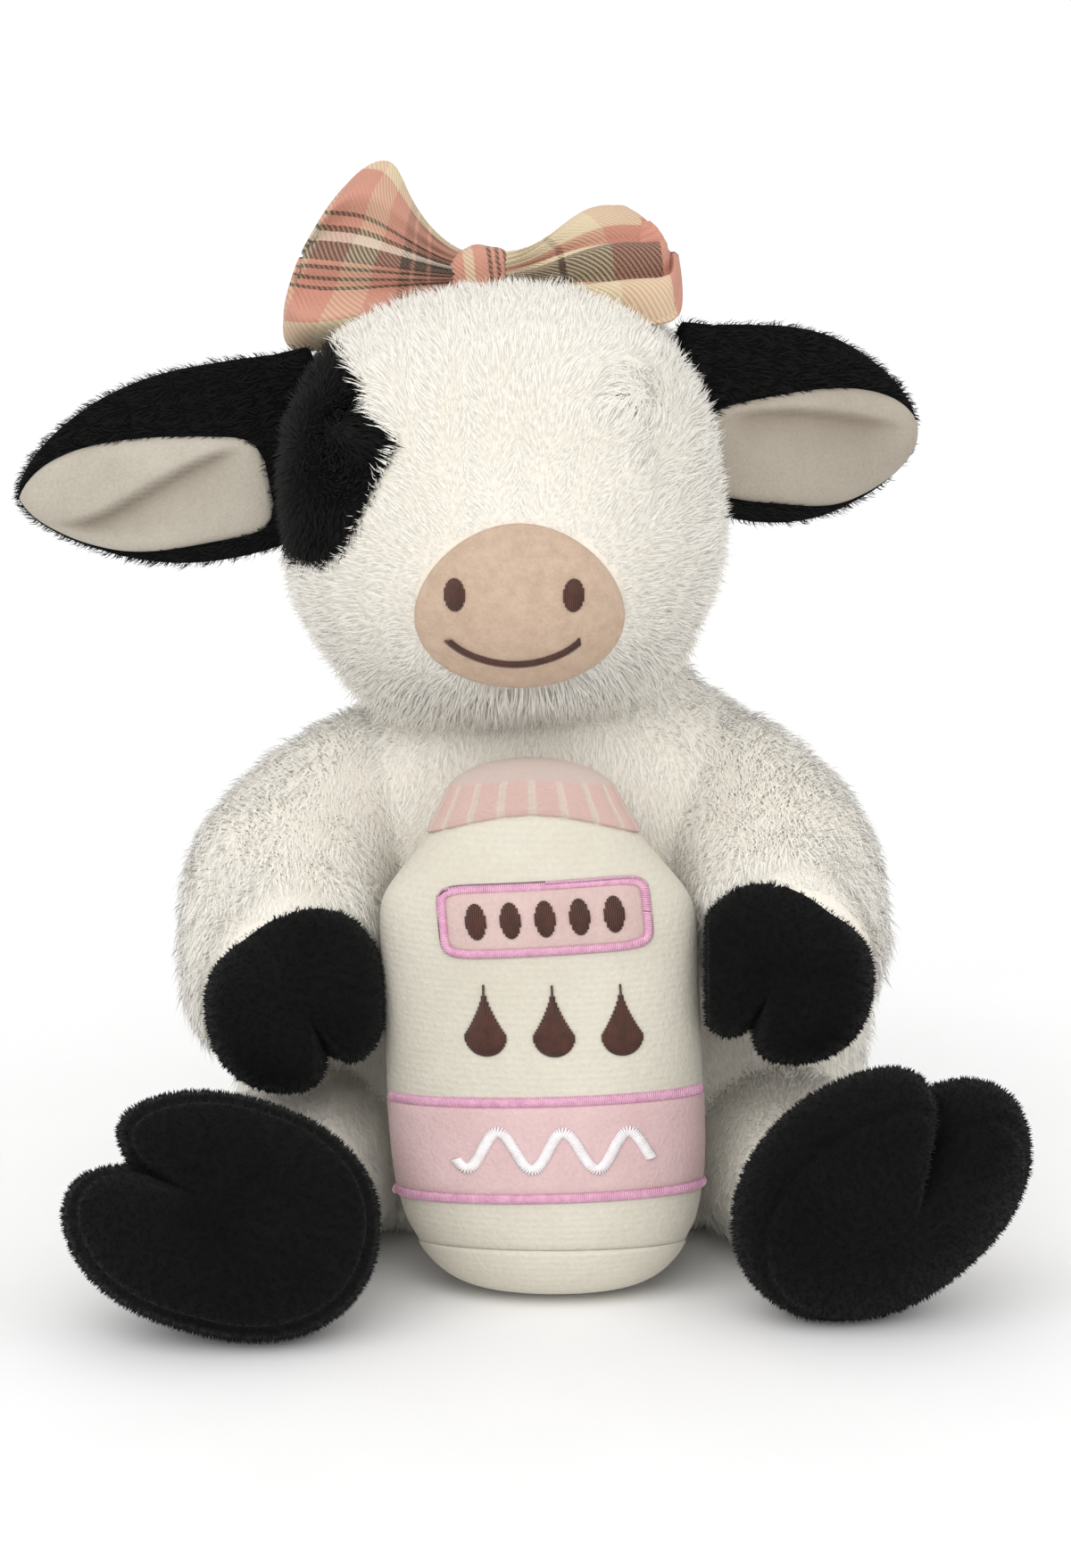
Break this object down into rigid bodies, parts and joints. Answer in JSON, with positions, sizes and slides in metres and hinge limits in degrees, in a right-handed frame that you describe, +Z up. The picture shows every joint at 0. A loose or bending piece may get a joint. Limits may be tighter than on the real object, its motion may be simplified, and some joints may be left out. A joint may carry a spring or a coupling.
{
  "type": "heatable plush cow",
  "caption": "Seated plush cow with a plaid bow that hugs a plush milk bottle, with turning head and limbs and a back pocket that holds a removable heat pack.",
  "frame": {"origin": "middle of the flat underside of the seat, on the surface that the toy sits on", "axes": "+Z up, the cow faces -Y, its left side is at +X"},
  "size_m": [0.2698, 0.1889, 0.2945],
  "materials": {
    "white_plush": "long cream-white plush pile",
    "black_plush": "medium black plush pile",
    "black_velour": "short black velour",
    "beige_velour": "short beige-pink velour",
    "brown_thread": "brown satin stitch",
    "eye_plastic": "gloss black plastic",
    "ear_velour": "short off-white velour",
    "plaid_cloth": "brushed twill in a coral, cream and brown plaid",
    "ivory_velour": "short ivory velour",
    "coral_velour": "ribbed coral-pink velour",
    "pink_velour": "short pale-pink velour",
    "pink_thread": "orchid-pink satin stitch",
    "polyester_fill": "loose white polyester filling",
    "cotton": "plain undyed cotton",
    "hook_and_loop": "off-white hook and loop tape"
  },
  "bodies": {
    "torso": {"torso_cover": "white_plush", "torso_stuffing": "polyester_fill", "pocket_liner": "cotton", "pocket_loop_strip": "hook_and_loop"},
    "flap": {"pocket_flap": "white_plush", "pocket_hook_strip": "hook_and_loop"},
    "pack": {"heat_pack": "cotton"},
    "head": {"head_cover": "white_plush", "head_stuffing": "polyester_fill", "eye_patch": "black_plush", "muzzle": "beige_velour", "mouth_stitch": "brown_thread", "bow_strip": "plaid_cloth", "bow_knot": "plaid_cloth", "nostril_right": "brown_thread", "nostril_left": "brown_thread", "eye_right": "eye_plastic", "eye_left": "eye_plastic", "eye_washer_right": "eye_plastic", "eye_washer_left": "eye_plastic"},
    "right_ear": {"right_ear_back": "black_plush", "right_ear_lining": "ear_velour"},
    "left_ear": {"left_ear_back": "black_plush", "left_ear_lining": "ear_velour"},
    "right_arm": {"right_arm": "white_plush", "right_hand_hoof": "black_velour"},
    "left_arm": {"left_arm": "white_plush", "left_hand_hoof": "black_velour"},
    "right_leg": {"right_leg": "white_plush", "right_foot_hoof": "black_velour"},
    "left_leg": {"left_leg": "white_plush", "left_foot_hoof": "black_velour"},
    "bottle": {"bottle_body": "ivory_velour", "bottle_base": "ivory_velour", "bottle_cap": "coral_velour", "label_band": "pink_velour", "band_upper_cord": "pink_thread", "band_lower_cord": "pink_thread", "label_plaque": "pink_velour", "plaque_border": "pink_thread", "milk_drop_1": "brown_thread", "milk_drop_2": "brown_thread", "milk_drop_3": "brown_thread"}
  },
  "joints": [
    {"name": "head_turn", "type": "hinge", "parent": "torso", "child": "head", "pos_m": [0, 0, 0.128], "axis": [0, 0, 1], "range_deg": [-25, 25], "stiffness_Nm_per_rad": 0.15},
    {"name": "right_ear_flop", "type": "hinge", "parent": "head", "child": "right_ear", "pos_m": [-0.07308, -0.01, 0.22068], "axis": [0.1132, 0, -0.9936], "range_deg": [-20, 30], "stiffness_Nm_per_rad": 0.02},
    {"name": "left_ear_flop", "type": "hinge", "parent": "head", "child": "left_ear", "pos_m": [0.04605, -0.01, 0.22865], "axis": [-0.1132, 0, 0.9936], "range_deg": [-20, 30], "stiffness_Nm_per_rad": 0.02},
    {"name": "right_arm_swing", "type": "hinge", "parent": "torso", "child": "right_arm", "pos_m": [-0.051, 0, 0.138], "axis": [0, 1, 0], "range_deg": [0, 45], "stiffness_Nm_per_rad": 0.08},
    {"name": "left_arm_swing", "type": "hinge", "parent": "torso", "child": "left_arm", "pos_m": [0.051, 0, 0.138], "axis": [0, -1, 0], "range_deg": [0, 45], "stiffness_Nm_per_rad": 0.08},
    {"name": "right_leg_splay", "type": "hinge", "parent": "torso", "child": "right_leg", "pos_m": [-0.052, -0.006, 0.026], "axis": [0, 0, -1], "range_deg": [0, 15], "stiffness_Nm_per_rad": 0.2},
    {"name": "left_leg_splay", "type": "hinge", "parent": "torso", "child": "left_leg", "pos_m": [0.052, -0.006, 0.026], "axis": [0, 0, 1], "range_deg": [0, 15], "stiffness_Nm_per_rad": 0.2},
    {"name": "bottle_pull", "type": "slide", "parent": "torso", "child": "bottle", "axis": [0, -1, 0], "range_m": [0, 0.12]},
    {"name": "flap_open", "type": "hinge", "parent": "torso", "child": "flap", "pos_m": [0, 0.0543, 0.036], "axis": [-1, 0, 0], "range_deg": [0, 110]},
    {"name": "heat_pack_pull", "type": "slide", "parent": "torso", "child": "pack", "axis": [0, 1, 0], "range_m": [0, 0.056]}
  ],
  "couplings": [
    {"joint": "heat_pack_pull", "follows": "flap_open", "m_per_rad": 0.028}
  ]
}
